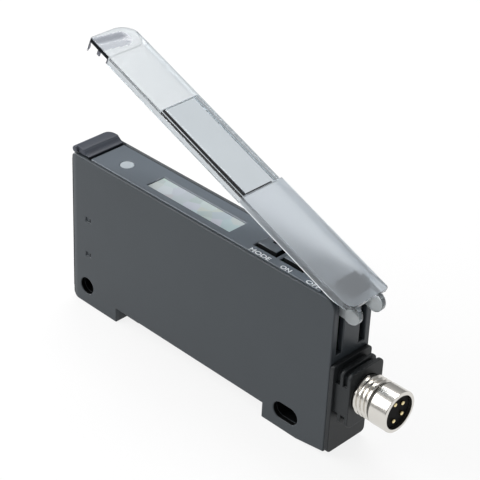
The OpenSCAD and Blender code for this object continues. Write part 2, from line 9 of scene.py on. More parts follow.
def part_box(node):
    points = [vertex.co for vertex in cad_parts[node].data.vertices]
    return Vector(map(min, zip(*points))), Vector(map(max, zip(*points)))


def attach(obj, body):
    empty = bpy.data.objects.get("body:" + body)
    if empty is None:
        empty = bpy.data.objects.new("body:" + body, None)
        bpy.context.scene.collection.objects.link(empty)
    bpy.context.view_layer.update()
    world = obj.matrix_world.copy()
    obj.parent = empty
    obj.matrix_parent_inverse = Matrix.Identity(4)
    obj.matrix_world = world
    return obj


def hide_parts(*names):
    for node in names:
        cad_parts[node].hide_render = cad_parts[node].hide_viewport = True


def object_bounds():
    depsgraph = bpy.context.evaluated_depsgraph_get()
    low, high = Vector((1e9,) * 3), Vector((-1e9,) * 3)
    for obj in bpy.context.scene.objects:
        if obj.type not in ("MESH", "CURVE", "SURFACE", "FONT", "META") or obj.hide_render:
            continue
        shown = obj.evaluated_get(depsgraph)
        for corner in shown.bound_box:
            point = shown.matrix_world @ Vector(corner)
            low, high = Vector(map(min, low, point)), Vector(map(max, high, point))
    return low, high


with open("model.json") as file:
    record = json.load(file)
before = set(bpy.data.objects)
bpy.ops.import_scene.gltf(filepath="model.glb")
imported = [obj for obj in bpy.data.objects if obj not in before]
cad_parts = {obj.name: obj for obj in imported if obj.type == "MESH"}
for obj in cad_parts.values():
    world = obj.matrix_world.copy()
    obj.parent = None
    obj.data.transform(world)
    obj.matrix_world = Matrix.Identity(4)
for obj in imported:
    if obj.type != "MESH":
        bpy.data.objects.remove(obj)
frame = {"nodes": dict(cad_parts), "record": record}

cad_low, cad_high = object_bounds()

# Camera
# A long lens about a third of a metre away, held a little off level.
# It looks over the front corner of the plug end and down on the top face.
MM = 0.001
azimuth = math.radians(43.362)
elevation = math.radians(32.833)
roll = math.radians(2.671)
camera_mm = Vector((177.195, -186.85, 196.05))
sensor_mm = 36
lens_mm = 129.09
backward = Vector((
    math.sin(azimuth) * math.cos(elevation),
    -math.cos(azimuth) * math.cos(elevation),
    math.sin(elevation),
))
level = Vector((math.cos(azimuth), math.sin(azimuth), 0))
upright = backward.cross(level)
rightward = level * math.cos(roll) + upright * math.sin(roll)
upward = upright * math.cos(roll) - level * math.sin(roll)
turn = Matrix((rightward, upward, backward)).transposed()
camera = bpy.data.objects.new("camera", bpy.data.cameras.new("camera"))
camera.data.sensor_width = sensor_mm
camera.data.lens = lens_mm
camera.data.clip_start = 10 * MM
camera.data.clip_end = 20
camera.matrix_world = Matrix.Translation(camera_mm * MM) @ turn.to_4x4()
bpy.context.scene.collection.objects.link(camera)
bpy.context.scene.camera = camera
bpy.context.scene.view_settings.view_transform = "Standard"


# Studio
# A table of white paper in a dim room, with soft boxes over the front left, at the left and over the back.
# The camera, metal and clear plastic see the paper at full white, and it keeps a faint shadow.
def add(tree, kind, sockets=None, links=None, **properties):
    """Adds one shader node, sets its properties and sockets, and links its inputs."""
    node = tree.nodes.new("ShaderNode" + kind)
    for name, value in properties.items():
        setattr(node, name, value)
    for name, value in (sockets or {}).items():
        node.inputs[name].default_value = value
    for name, source in (links or {}).items():
        tree.links.new(source, node.inputs[name])
    return node


def tone(hex_code):
    """A colour written as sRGB hex, in linear light."""
    parts = [int(hex_code[i:i + 2], 16) / 255 for i in (1, 3, 5)]
    return [c / 12.92 if c <= 0.04045 else ((c + 0.055) / 1.055) ** 2.4 for c in parts] + [1]


def emptied(owner):
    """The node tree of a material or a world, with nothing in it yet."""
    owner.use_nodes = True
    owner.node_tree.nodes.clear()
    return owner.node_tree


room_light = 0.27
room_dim = 0.3
room_top = 0.55
world = bpy.data.worlds.new("dim_room")
tree = emptied(world)
path = add(tree, "LightPath")
mirrored = add(
    tree, "Math", operation="MAXIMUM",
    links={0: path.outputs["Is Glossy Ray"], 1: path.outputs["Is Transmission Ray"]},
)
height = add(tree, "SeparateXYZ", links={"Vector": add(tree, "TexCoord").outputs["Generated"]})
walls = add(tree, "MapRange", {"To Min": room_dim, "To Max": room_top}, {"Value": height.outputs["Z"]})
room = add(
    tree, "MapRange", {"To Min": room_light},
    {"Value": mirrored.outputs[0], "To Max": walls.outputs["Result"]},
)
seen = add(
    tree, "MapRange", {"To Max": 1},
    {"Value": path.outputs["Is Camera Ray"], "To Min": room.outputs["Result"]},
)
sky = add(tree, "Background", {"Color": tone("#FFFFFF")}, {"Strength": seen.outputs["Result"]})
add(tree, "OutputWorld", links={"Surface": sky.outputs["Background"]})
bpy.context.scene.world = world

table_half = 3
table_gap = 0.02 * MM
bm = bmesh.new()
bmesh.ops.create_grid(bm, x_segments=1, y_segments=1, size=table_half)
bmesh.ops.translate(bm, vec=(0, 0, cad_low.z - table_gap), verts=bm.verts)
table = bpy.data.objects.new("table", bpy.data.meshes.new("table"))
bm.to_mesh(table.data)
bm.free()
# White paper: flat and even, and full white to the camera and in mirrors
paper_white = 0.85
paper = bpy.data.materials.new("white_paper")
tree = emptied(paper)
path = add(tree, "LightPath")
mirrored = add(
    tree, "Math", operation="MAXIMUM",
    links={0: path.outputs["Is Glossy Ray"], 1: path.outputs["Is Transmission Ray"]},
)
direct = add(
    tree, "Math", operation="MAXIMUM",
    links={0: mirrored.outputs[0], 1: path.outputs["Is Camera Ray"]},
)
share = add(tree, "MapRange", {"To Max": paper_white}, {"Value": direct.outputs[0]})
sheet = add(tree, "BsdfDiffuse", {"Color": tone("#EDEDED")})
glow = add(tree, "Emission", {"Color": tone("#FFFFFF")})
both = add(
    tree, "MixShader",
    links={0: share.outputs["Result"], 1: sheet.outputs["BSDF"], 2: glow.outputs["Emission"]},
)
add(tree, "OutputMaterial", links={"Surface": both.outputs["Shader"]})
table.data.materials.append(paper)
bpy.context.scene.collection.objects.link(table)

soft_boxes = {
    "front_left_box": ((-0.34, -0.31, 0.31), 0.4, 2.35),
    "left_box": ((-0.6, 0.0, 0.1), 0.2, 3.0),
    "back_box": ((-0.17, 0.20, 0.66), 0.3, 2.7),
}
for name, (place, side, watts) in soft_boxes.items():
    lamp = bpy.data.lights.new(name, "AREA")
    lamp.size = side
    lamp.energy = watts
    box = bpy.data.objects.new(name, lamp)
    box.location = place
    box.rotation_euler = (-Vector(place)).to_track_quat("-Z", "Y").to_euler()
    bpy.context.scene.collection.objects.link(box)

# Housing
# Two moulded halves of dark grey ABS: the case with feet, rail hook and both ends, and the flat front side.
# The mould was spark eroded, so the faces are fine grained, and every outer edge is a little round.
# The front half turns in slightly at its left end, and two index marks are sunk in it.
merge_gap = 0.002 * MM
flat_angle = math.radians(0.5)
corner_angle = math.radians(35)
smooth_angle = math.radians(40)
facing = 0.9
wide_segments = 6


def at_corner(edge):
    """Whether two faces meet sharply at an edge."""
    return edge.calc_face_angle() > corner_angle


def rounded(bm, chosen, edge_mm, segments):
    """Rounds those outer edges of a mesh that are chosen."""
    edges = [e for e in bm.edges if e.is_manifold and e.is_convex and chosen(e)]
    bmesh.ops.bevel(
        bm, geom=edges, offset=edge_mm * MM, segments=segments, profile=0.5, affect="EDGES",
        material=-1, clamp_overlap=False,
    )


def eased(node, edge_mm, segments=2, wider=None, wide_mm=0):
    """A copy of a solid with its outer edges rounded, some of them wider, in the solid's place."""
    bm = bmesh.new()
    bm.from_mesh(frame["nodes"][node].data)
    bmesh.ops.remove_doubles(bm, verts=bm.verts, dist=merge_gap)
    bmesh.ops.dissolve_limit(bm, angle_limit=flat_angle, verts=bm.verts, edges=bm.edges)
    if wider:
        rounded(bm, wider, wide_mm, wide_segments)
    rounded(bm, at_corner, edge_mm, segments)
    return stands_for(finished(bm, node + "_moulded"), node)


def finished(bm, name):
    """Turns a mesh into an object with smooth rounds and flat faces."""
    mesh = bpy.data.meshes.new(name)
    bm.to_mesh(mesh)
    bm.free()
    mesh.shade_smooth()
    mesh.set_sharp_from_angle(angle=smooth_angle)
    piece = bpy.data.objects.new(name, mesh)
    bpy.context.scene.collection.objects.link(piece)
    piece.modifiers.new("flat_faces", "WEIGHTED_NORMAL").keep_sharp = True
    return piece


def stands_for(piece, node):
    """Puts a piece in a solid's place: it hides the solid and moves with its body."""
    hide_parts(node)
    return goes_with(piece, node)


def goes_with(piece, node):
    """Makes a piece move with a solid's body."""
    bodies = frame["record"]["behaviour"]["bodies"]
    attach(piece, next(body for body, nodes in bodies.items() if node in nodes))
    return piece


def cut(bm, place, across, faces=None):
    """Cuts a mesh, or some of its faces, along a plane."""
    geom = bm.verts[:] + bm.edges[:] + bm.faces[:]
    if faces is not None:
        edges = dict.fromkeys(e for f in faces for e in f.edges)
        geom = [*faces, *edges, *dict.fromkeys(v for e in edges for v in e.verts)]
    bmesh.ops.bisect_plane(bm, geom=geom, plane_co=place, plane_no=across)


def shaded(colour, spread):
    """A darker and a lighter shade of a colour, for faint clouds in it."""
    return [[c * (1 + s * spread) for c in tone(colour)[:3]] + [1] for s in (-1, 1)]


def moulded_plastic(name, colour, roughness, grain_mm, grain_depth_mm, glint=0.25):
    """Moulded plastic: faint clouds, an uneven gloss, and the mould's fine grain, coarse enough to show."""
    cloud_mm = 8
    uneven = 0.05
    material = bpy.data.materials.new(name)
    tree = emptied(material)
    place = add(tree, "TexCoord").outputs["Object"]
    grain = add(tree, "TexNoise", {"Scale": 1 / (grain_mm * MM), "Detail": 2}, {"Vector": place})
    cloud = add(tree, "TexNoise", {"Scale": 1 / (cloud_mm * MM), "Detail": 3}, {"Vector": place})
    dark, light = shaded(colour, 0.06)
    shade = add(tree, "MixRGB", {"Color1": dark, "Color2": light}, {"Fac": cloud.outputs["Fac"]})
    gloss = add(
        tree, "MapRange", {"To Min": roughness - uneven, "To Max": roughness + uneven},
        {"Value": grain.outputs["Fac"]},
    )
    relief = add(
        tree, "Bump", {"Strength": 0.5, "Distance": grain_depth_mm * MM},
        {"Height": grain.outputs["Fac"]},
    )
    surface = add(tree, "BsdfPrincipled", {"IOR": 1.5, "Specular IOR Level": glint}, {
        "Base Color": shade.outputs["Color"],
        "Roughness": gloss.outputs["Result"],
        "Normal": relief.outputs["Normal"],
    })
    add(tree, "OutputMaterial", links={"Surface": surface.outputs["BSDF"]})
    return material


# Spark eroded ABS: an even dark grey with a dull sheen and a grain that breaks it up
housing_abs = moulded_plastic("eroded_ABS_dark_grey", "#363C41", 0.4, 0.3, 0.01, 0.36)
# Painted shade: the same plastic painted all but black in the bores and on the marks' dashes, where hardly
# any light reaches
bore_and_mark_shade = moulded_plastic("eroded_ABS_painted_shade", "#0A0B0C", 0.6, 0.3, 0.01, 0.1)
left_x, seam_y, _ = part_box("case")[0]
skin_y = seam_y - 0.4 * MM
turned_l = 2 * MM
turned_in = 0.45 * MM
turned_cuts = 5
mark_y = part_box("side_cover")[0].y + 0.25 * MM
dash_w = 0.42 * MM
tip_w = 0.252 * MM
bores_x = ((-38 * MM, -33 * MM), (15 * MM, 26 * MM))
bores_z = (1.5 * MM, 7 * MM)


def off_the_seam(edge):
    """Whether an edge is a sharp outer one, and not one of those where the two halves meet."""
    at_seam = all(abs(v.co.y - seam_y) < 0.01 * MM for v in edge.verts)
    return at_corner(edge) and not at_seam


def mark_floors(bm):
    """The faces at the bottom of the index marks, as they are cut now."""
    return [
        f for f in bm.faces
        if f.normal.y < -facing and abs(f.calc_center_median().y - mark_y) < 0.05 * MM
    ]


def in_bore(face):
    """Whether a face is the wall of a hole through the feet."""
    centre = face.calc_center_median()
    at_hole = any(low < centre.x < high for low, high in bores_x) and bores_z[0] < centre.z < bores_z[1]
    return at_hole and abs(face.normal.y) < 0.6


for node in ("case", "side_cover"):
    half = eased(node, edge_mm=0.05, segments=1, wider=off_the_seam, wide_mm=0.26)
    half.data.materials.append(housing_abs)
    half.data.materials.append(bore_and_mark_shade)
    bm = bmesh.new()
    bm.from_mesh(half.data)
    shaded_dashes = []
    if node == "side_cover":
        for i in range(1, turned_cuts + 1):
            cut(bm, (left_x + turned_l * i / turned_cuts, 0, 0), (1, 0, 0))
        for v in bm.verts:
            if v.co.y < skin_y and v.co.x < left_x + turned_l:
                v.co.y += turned_in * (1 - (v.co.x - left_x) / turned_l) ** 2
        marks_x = [v.co.x for f in mark_floors(bm) for v in f.verts]
        dash_end = min(marks_x) + dash_w
        tip_start = max(marks_x) - tip_w
        for x in (dash_end, tip_start):
            cut(bm, (x, 0, 0), (1, 0, 0), mark_floors(bm))
        shaded_dashes = [f for f in mark_floors(bm) if not dash_end < f.calc_center_median().x < tip_start]
    # Painted shade: the walls of the bores and the ends of the marks' floors take the all but black plastic
    for face in bm.faces:
        if in_bore(face) or face in shaded_dashes:
            face.material_index = 1
    bm.to_mesh(half.data)
    bm.free()

# Boards
# Two boards of green glass epoxy, one upright in the case and one under the panel, with their chips,
# push switches and light source. They are closed in, and show only through the ports and slots.

# Solder mask: a glossy green, with the glass weave faintly under it and raised, paler tracks
weave_mm = 0.5
track_mm = 1.6
track_l_mm = 6
track_gap_mm = 0.2
board_mask = bpy.data.materials.new("solder_mask_on_glass_epoxy")
tree = emptied(board_mask)
place = add(tree, "TexCoord").outputs["Object"]
weave = add(tree, "TexChecker", {"Scale": 1 / (weave_mm * MM)}, {"Vector": place})
tracks = add(tree, "TexBrick", {
    "Scale": 1,
    "Brick Width": track_l_mm * MM,
    "Row Height": track_mm * MM,
    "Mortar Size": track_gap_mm * MM,
}, {"Vector": place})
dark, light = shaded("#2C6441", 0.12)
mask = add(tree, "MixRGB", {"Color1": dark, "Color2": light}, {"Fac": weave.outputs["Fac"]})
lines = add(
    tree, "MixRGB", {"Color2": tone("#4C8A5C")},
    {"Fac": tracks.outputs["Fac"], "Color1": mask.outputs["Color"]},
)
relief = add(tree, "Bump", {"Strength": 0.4, "Distance": 0.03 * MM}, {"Height": tracks.outputs["Fac"]})
surface = add(
    tree, "BsdfPrincipled", {"Roughness": 0.35, "IOR": 1.55},
    {"Base Color": lines.outputs["Color"], "Normal": relief.outputs["Normal"]},
)
add(tree, "OutputMaterial", links={"Surface": surface.outputs["BSDF"]})

# Moulded epoxy: a flat, dull black
chip_epoxy = moulded_plastic("epoxy_moulding_black", "#202225", 0.55, 0.25, 0.006)
# Moulded nylon: a pale grey with a soft sheen
switch_nylon = moulded_plastic("nylon_switch_pale", "#B9BDC1", 0.45, 0.3, 0.004)
# The light source's moulded package: a warm, even white
led_package = moulded_plastic("led_package_white", "#E6E0CB", 0.4, 0.3, 0.003)
for node, material in {
    "main_board": board_mask,
    "panel_board": board_mask,
    "board_chips": chip_epoxy,
    "tact_switches": switch_nylon,
    "indicator_led": led_package,
}.items():
    frame["nodes"][node].data.materials[0] = material

# Fibre clamp
# A black moulded block guides both fibres to the two light components, and a steel plate slides in it.
# The lever's cam holds that plate down on the fibres.

# Spark eroded ABS: the housing's grain in black, with hardly any sheen
holder_abs = moulded_plastic("eroded_ABS_black", "#2A2D30", 0.5, 0.3, 0.008)
# Cast epoxy: a smooth pale grey that shines as glass does
optic_epoxy = moulded_plastic("clear_epoxy_grey", "#AEB6BC", 0.15, 0.8, 0.002)
frame["nodes"]["fibre_holder"].data.materials[0] = holder_abs
frame["nodes"]["emitter_led"].data.materials[0] = optic_epoxy
frame["nodes"]["receiver_diode"].data.materials[0] = optic_epoxy


def bright_metal(name, colour, roughness, line_mm, line_depth_mm, stretch):
    """Bare or plated metal: fine tool lines, drawn coarse enough to show, that stretch along some axes."""
    cloud_mm = 3
    material = bpy.data.materials.new(name)
    tree = emptied(material)
    place = add(tree, "TexCoord").outputs["Object"]
    along = add(tree, "Mapping", {"Scale": stretch}, {"Vector": place}).outputs["Vector"]
    lines = add(tree, "TexNoise", {"Scale": 1 / (line_mm * MM), "Detail": 3}, {"Vector": along})
    cloud = add(tree, "TexNoise", {"Scale": 1 / (cloud_mm * MM), "Detail": 2}, {"Vector": place})
    dark, light = shaded(colour, 0.08)
    shade = add(tree, "MixRGB", {"Color1": dark, "Color2": light}, {"Fac": cloud.outputs["Fac"]})
    gloss = add(
        tree, "MapRange", {"To Min": roughness * 0.7, "To Max": roughness * 1.3},
        {"Value": lines.outputs["Fac"]},
    )
    relief = add(
        tree, "Bump", {"Strength": 0.4, "Distance": line_depth_mm * MM},
        {"Height": lines.outputs["Fac"]},
    )
    surface = add(tree, "BsdfPrincipled", {"Metallic": 1}, {
        "Base Color": shade.outputs["Color"],
        "Roughness": gloss.outputs["Result"],
        "Normal": relief.outputs["Normal"],
    })
    add(tree, "OutputMaterial", links={"Surface": surface.outputs["BSDF"]})
    return material


# Rolled steel: a dull silver with lines along the strip
frame["nodes"]["fibre_clamp"].data.materials[0] = bright_metal(
    "rolled_steel", "#A9ABAD", 0.35, 0.2, 0.004, (1, 1, 0.1),
)

# Lock lever
# A moulded lever in the top corner, which turns on a ground steel pin. Its top bows down to a rolled ridge
# that takes the thumb, and the face behind the ridge is hollow.

# Satin ABS: finer grained and slightly bluer than the housing, with a soft sheen along the ridge
lever_abs = moulded_plastic("satin_ABS_lever", "#42464F", 0.36, 0.35, 0.005)
lever_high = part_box("lock_lever")[1]
crest_angle = math.radians(12)
bow_start = -38.475 * MM
crest_x = -36.375 * MM
bow = 0.35 * MM
bow_under = 1.1 * MM
bow_cuts = 7


def on_lever_crest(edge):
    """Whether an edge runs across the lever between its flat top and the hollow face."""
    a, b = (v.co for v in edge.verts)
    across = abs(a.y - b.y) > 2 * MM and abs(a.x - b.x) < 0.01 * MM
    return across and min(a.z, b.z) > lever_high.z - 0.03 * MM and edge.calc_face_angle() > crest_angle


lever = eased("lock_lever", edge_mm=0.16, segments=3, wider=on_lever_crest, wide_mm=0.36)
lever.data.materials.append(lever_abs)
bm = bmesh.new()
bm.from_mesh(lever.data)
for i in range(bow_cuts):
    cut(bm, (bow_start + (crest_x - bow_start) * i / (bow_cuts + 1), 0, 0), (1, 0, 0))
for v in bm.verts:
    if v.co.z > lever_high.z - bow_under and v.co.x > bow_start:
        rise = min(1, (v.co.x - bow_start) / (crest_x - bow_start)) ** 2
        fall = min(1, (lever_high.x - v.co.x) / (lever_high.x - crest_x))
        v.co.z -= bow * rise * fall
bm.to_mesh(lever.data)
bm.free()
# Ground steel: a bright grey with fine lines along the pin
ground_steel = bright_metal("ground_steel", "#B4B7BA", 0.22, 0.12, 0.002, (1, 0.1, 1))
frame["nodes"]["lever_pin"].data.materials[0] = ground_steel

# Top panel
# A glossy moulded panel that lies in the top face, with a fine seam round it.
# It frames the window, the light and the keys, and has their names printed along its front edge.

# Polished ABS: a smooth grey with a clear sheen
panel_abs = moulded_plastic("glossy_ABS_grey", "#5B636B", 0.22, 0.7, 0.001, 0.5)
panel = eased("top_panel", 0.2, 3)
panel.data.materials.append(panel_abs)
panel_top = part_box("top_panel")[1].z
ink_t = 0.015 * MM
ink_spread = 0.018


def lettering(word, centre, width, height):
    """A printed word as a thin mesh that lies on a level face and reads from the front."""
    letters = bpy.data.objects.new(word, bpy.data.curves.new(word, "FONT"))
    letters.data.body = word
    letters.data.resolution_u = 4
    letters.data.offset = ink_spread
    bpy.context.scene.collection.objects.link(letters)
    bpy.context.view_layer.update()
    mesh = bpy.data.meshes.new_from_object(letters.evaluated_get(bpy.context.evaluated_depsgraph_get()))
    bpy.data.objects.remove(letters)
    bm = bmesh.new()
    bm.from_mesh(mesh)
    bpy.data.meshes.remove(mesh)
    bmesh.ops.remove_doubles(bm, verts=bm.verts, dist=1e-4)
    low = [min(v.co[i] for v in bm.verts) for i in (0, 1)]
    high = [max(v.co[i] for v in bm.verts) for i in (0, 1)]
    middle = Vector(((low[0] + high[0]) / 2, (low[1] + high[1]) / 2, 0))
    bmesh.ops.translate(bm, vec=-middle, verts=bm.verts)
    bmesh.ops.scale(bm, vec=(width / (high[0] - low[0]), height / (high[1] - low[1]), 1), verts=bm.verts)
    raised = bmesh.ops.extrude_face_region(bm, geom=bm.faces[:])
    tops = [v for v in raised["geom"] if isinstance(v, bmesh.types.BMVert)]
    bmesh.ops.translate(bm, vec=(0, 0, ink_t), verts=tops)
    bmesh.ops.translate(bm, vec=centre, verts=bm.verts)
    bmesh.ops.recalc_face_normals(bm, faces=bm.faces)
    return goes_with(finished(bm, "print_" + word.lower()), "top_panel")


# Pad printed ink: a soft white that lies a hair above the face
ink = moulded_plastic("pad_print_white", "#DDE1E4", 0.55, 0.25, 0.002)
label_h = 1.0 * MM
label_y = -3.65 * MM
labels = {
    "MODE": ("mode_key", -2.25 * MM, 4.75 * MM),
    "ON": ("on_key", -1.1 * MM, 2.25 * MM),
    "OFF": ("off_key", -1.4 * MM, 3.2 * MM),
}
for word, (key, start, width) in labels.items():
    key_low, key_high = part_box(key)
    x = (key_low.x + key_high.x) / 2 + start + width / 2
    label = lettering(word, Vector((x, label_y, panel_top)), width, label_h)
    label.data.materials.append(ink)

# Display
# A clear acrylic pane, set a little under the panel's face, over a pale liquid crystal cell.
# The cell lies on the board under the panel, close behind the pane.

# Liquid crystal under acrylic: unlit, a smooth greenish grey that breaks into faint patches of colour
patch_mm = 2.4
patch_share = 0.13
ripple_mm = 4
lcd = bpy.data.materials.new("liquid_crystal_under_acrylic")
tree = emptied(lcd)
place = add(tree, "TexCoord").outputs["Object"]
patches = add(tree, "TexVoronoi", {"Scale": 1 / (patch_mm * MM), "Randomness": 0.8}, {"Vector": place})
tint = add(tree, "HueSaturation", {"Saturation": 0.5, "Value": 1.1}, {"Color": patches.outputs["Color"]})
cell = add(
    tree, "MixRGB", {"Fac": patch_share, "Color1": tone("#AAB6B9")}, {"Color2": tint.outputs["Color"]},
)
ripple = add(tree, "TexNoise", {"Scale": 1 / (ripple_mm * MM), "Detail": 1}, {"Vector": place})
relief = add(tree, "Bump", {"Strength": 0.2, "Distance": 0.01 * MM}, {"Height": ripple.outputs["Fac"]})
surface = add(
    tree, "BsdfPrincipled", {"Roughness": 0.12, "IOR": 1.49},
    {"Base Color": cell.outputs["Color"], "Normal": relief.outputs["Normal"]},
)
add(tree, "OutputMaterial", links={"Surface": surface.outputs["BSDF"]})
pane = eased("display_window", 0.06)
pane.data.materials.append(lcd)
frame["nodes"]["display_module"].data.materials[0] = lcd

# Indicator
# A round light pipe of milky polycarbonate, pressed in flush with the panel.
# It brings the light of the source on the board up to the top face.

# Milky polycarbonate: an even pale grey with a soft gloss
milky = moulded_plastic("milky_polycarbonate", "#ABB3B9", 0.3, 0.6, 0.004)
lens = eased("indicator_lens", 0.12, 3)
lens.data.materials.append(milky)

# Keys
# Three moulded caps that stand a little proud of the panel, each in a well, on a flange that holds it. Their
# sides carry painted shade, so the wells look dark.
# The first one has a short dark bar printed near its back corner.

# Satin ABS: the panel's grey, a little darker and duller
key_abs = moulded_plastic("satin_ABS_key_grey", "#545B62", 0.34, 0.4, 0.004, 0.5)
# Painted shade: the same plastic painted all but black on the caps' sides, where the wells let hardly any
# light in. The short bar printed on the first key is in it too
key_shade_and_bar_print = moulded_plastic("satin_ABS_painted_shade_and_print", "#0E1012", 0.6, 0.4, 0.004, 0.1)
wall_tilt = 0.3
for node in ("mode_key", "on_key", "off_key"):
    cap = eased(node, 0.22, 3)
    cap.data.materials.append(key_abs)
    cap.data.materials.append(key_shade_and_bar_print)
    # Painted shade on the caps' upright sides
    for side in cap.data.polygons:
        if abs(side.normal.z) < wall_tilt:
            side.material_index = 1
bar_l = 0.9 * MM
bar_w = 0.55 * MM
bar_back = 0.35 * MM
bar_left = 0.05 * MM
key_low, key_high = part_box("mode_key")
bm = bmesh.new()
bmesh.ops.create_cube(bm, size=1)
bmesh.ops.scale(bm, vec=(bar_l, bar_w, ink_t), verts=bm.verts)
bar_x = (key_low.x + key_high.x) / 2 - bar_left
bmesh.ops.translate(bm, vec=(bar_x, bar_back, key_high.z + ink_t / 2), verts=bm.verts)
bar = goes_with(finished(bm, "print_mode_bar"), "mode_key")
bar.data.materials.append(key_shade_and_bar_print)


# Clear cover
# One moulding of clear polycarbonate: plate, skirts, thin display field, hinge legs with round heels, and a
# nose with latch prongs and a shallow thumb dish. The mould is eroded over the plate, which gives a frost,
# and polished elsewhere. The cover turns on a ground steel pin.
def clear_plastic(name, colour, roughness, haze, glint=0.5):
    """Clear plastic: a faint even tint with slow ripples in its gloss, and some haze where it is frosted."""
    ripple_mm = 6
    material = bpy.data.materials.new(name)
    tree = emptied(material)
    place = add(tree, "TexCoord").outputs["Object"]
    ripple = add(tree, "TexNoise", {"Scale": 1 / (ripple_mm * MM), "Detail": 1}, {"Vector": place})
    gloss = add(
        tree, "MapRange", {"To Min": roughness * 0.8, "To Max": roughness * 1.2},
        {"Value": ripple.outputs["Fac"]},
    )
    dark, light = shaded(colour, 0.03)
    shade = add(tree, "MixRGB", {"Color1": dark, "Color2": light}, {"Fac": ripple.outputs["Fac"]})
    surface = add(
        tree, "BsdfPrincipled", {"IOR": 1.5, "Specular IOR Level": glint, "Transmission Weight": 1 - haze},
        {"Base Color": shade.outputs["Color"], "Roughness": gloss.outputs["Result"]},
    )
    add(tree, "OutputMaterial", links={"Surface": surface.outputs["BSDF"]})
    return material


cover_materials = {
    # Polished walls: all but colourless, with a sharp gloss
    "polished": clear_plastic("polished_polycarbonate_clear", "#C6CCD0", 0.06, 0),
    # Frost on the plate towards the nose: pale and soft, and it blurs what lies under it
    "frosted": clear_plastic("eroded_polycarbonate_frosted", "#E4E9EC", 0.42, 0.25),
    # Coarser frost on the plate towards the hinge: hazier and a little bluer
    "blurred": clear_plastic("eroded_polycarbonate_hazy", "#D2DAE2", 0.5, 0.27),
    # Thick hinge legs: milky, because their flow marks scatter the light
    "milky": clear_plastic("flow_marked_polycarbonate_milky", "#D5DADC", 0.3, 0.35),
    # Skirts: greyer, because the eye looks through more of the plastic
    "skirt": clear_plastic("flow_marked_polycarbonate_skirt", "#A4ABB1", 0.3, 0.22),
    # The skirt's rim at the hinge: a painted highlight, nearly white, that stands in for light which runs in
    # the wall and leaves there
    "rim_highlight": clear_plastic("polycarbonate_rim_painted_highlight", "#EEF2F5", 0.3, 0.8),
    # The thin field: faintly smoked, and as sharp as glass
    "field": clear_plastic("polished_polycarbonate_smoked", "#CAD1D6", 0.05, 0),
    # Narrow prongs: painted shade, a dark grey that stands in for the light their close walls bend aside
    "prong": clear_plastic("polished_polycarbonate_prong", "#5A5D68", 0.15, 0.1),
    # Painted shade: near black on edges and fillets that turn the light away from the eye, and a painted
    # shadow on the patch under the plate between the hinge legs
    "edge": clear_plastic("polycarbonate_painted_shade", "#15181B", 0.4, 0.95, 0),
}
# The dish: painted shade by slope, a darker tint the steeper its wall, for the light it turns away
dish_painted_shades = ("#C9CDD6", "#B5B9C3", "#A1A5B0", "#8E929D")
dish_slope = 0.06
for i, colour in enumerate(dish_painted_shades):
    cover_materials["dish_%d" % i] = clear_plastic("polished_polycarbonate_dish_%d" % i, colour, 0.25, 0.15)
cover = eased("clear_cover", 0.08)
for material in cover_materials.values():
    cover.data.materials.append(material)
hinge_low, hinge_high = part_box("hinge_pin")
hinge = (hinge_low + hinge_high) / 2
bm = bmesh.new()
bm.from_mesh(cover.data)
plate_normal = max(bm.faces, key=lambda face: face.calc_area()).normal.copy()
plate_normal *= math.copysign(1, plate_normal.z)
along_plate = Vector((0, 1, 0)).cross(plate_normal)
plate_top = max((v.co - hinge).dot(plate_normal) for v in bm.verts)


def on_plate(point):
    """How far a point lies along the plate from the hinge pin, and how far below the plate's top."""
    offset = point - hinge
    return offset.dot(along_plate), plate_top - offset.dot(plate_normal)


# Places along the plate from the hinge pin
nose_end = -60.25 * MM
field_start = -45.8 * MM
field_end = -23.6 * MM
line_w = 0.34 * MM
line_start = field_end - line_w
shade_patch_start = -1.9 * MM
shade_patch_end = 2.3 * MM
# Depths below the plate's top
skin = 0.02 * MM
hollow_roof = 0.5 * MM
field_t = 0.6 * MM
nose_wall = 0.9 * MM
fillet_top = 0.3 * MM
fillet_end = 0.95 * MM
plate_under = 1 * MM
rim_start = 1.58 * MM
leg_start = 2 * MM
# Places across the cover
front_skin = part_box("clear_cover")[0].y + 0.1 * MM
shade_patch_half = 2.6 * MM
line_back = 3 * MM
back_wall = 4 * MM

# How squarely a face looks in a direction, besides the housing's measure
flat_on = 0.95
dead_flat = 0.999
leaning = 0.4
rounding = 0.3

hollow_round = 0.34 * MM
hollow_edges = []
for e in bm.edges:
    spots = [on_plate(v.co) for v in e.verts]
    in_hollow = all(reach < nose_end + 0.2 * MM for reach, depth in spots)
    at_roof = all(abs(depth - hollow_roof) < 0.03 * MM for reach, depth in spots)
    if in_hollow and at_roof and e.is_manifold and not e.is_convex and at_corner(e):
        hollow_edges.append(e)
bmesh.ops.bevel(
    bm, geom=hollow_edges, offset=hollow_round, segments=4, profile=0.5, affect="EDGES", material=-1,
    clamp_overlap=True,
)
for reach in (nose_end, field_start, line_start, field_end, shade_patch_start, shade_patch_end):
    cut(bm, hinge + along_plate * reach, along_plate)
for side in (-shade_patch_half, shade_patch_half):
    cut(bm, (0, side, 0), (0, 1, 0))
for depth in (nose_wall, rim_start):
    cut(bm, hinge + plate_normal * (plate_top - depth), plate_normal)


def nose_top(bm):
    """The faces of the nose's flat top, as they are cut now."""
    faces = []
    for face in bm.faces:
        reach, depth = on_plate(face.calc_center_median())
        if reach < nose_end and depth < skin and face.normal.dot(plate_normal) > dead_flat:
            faces.append(face)
    return faces


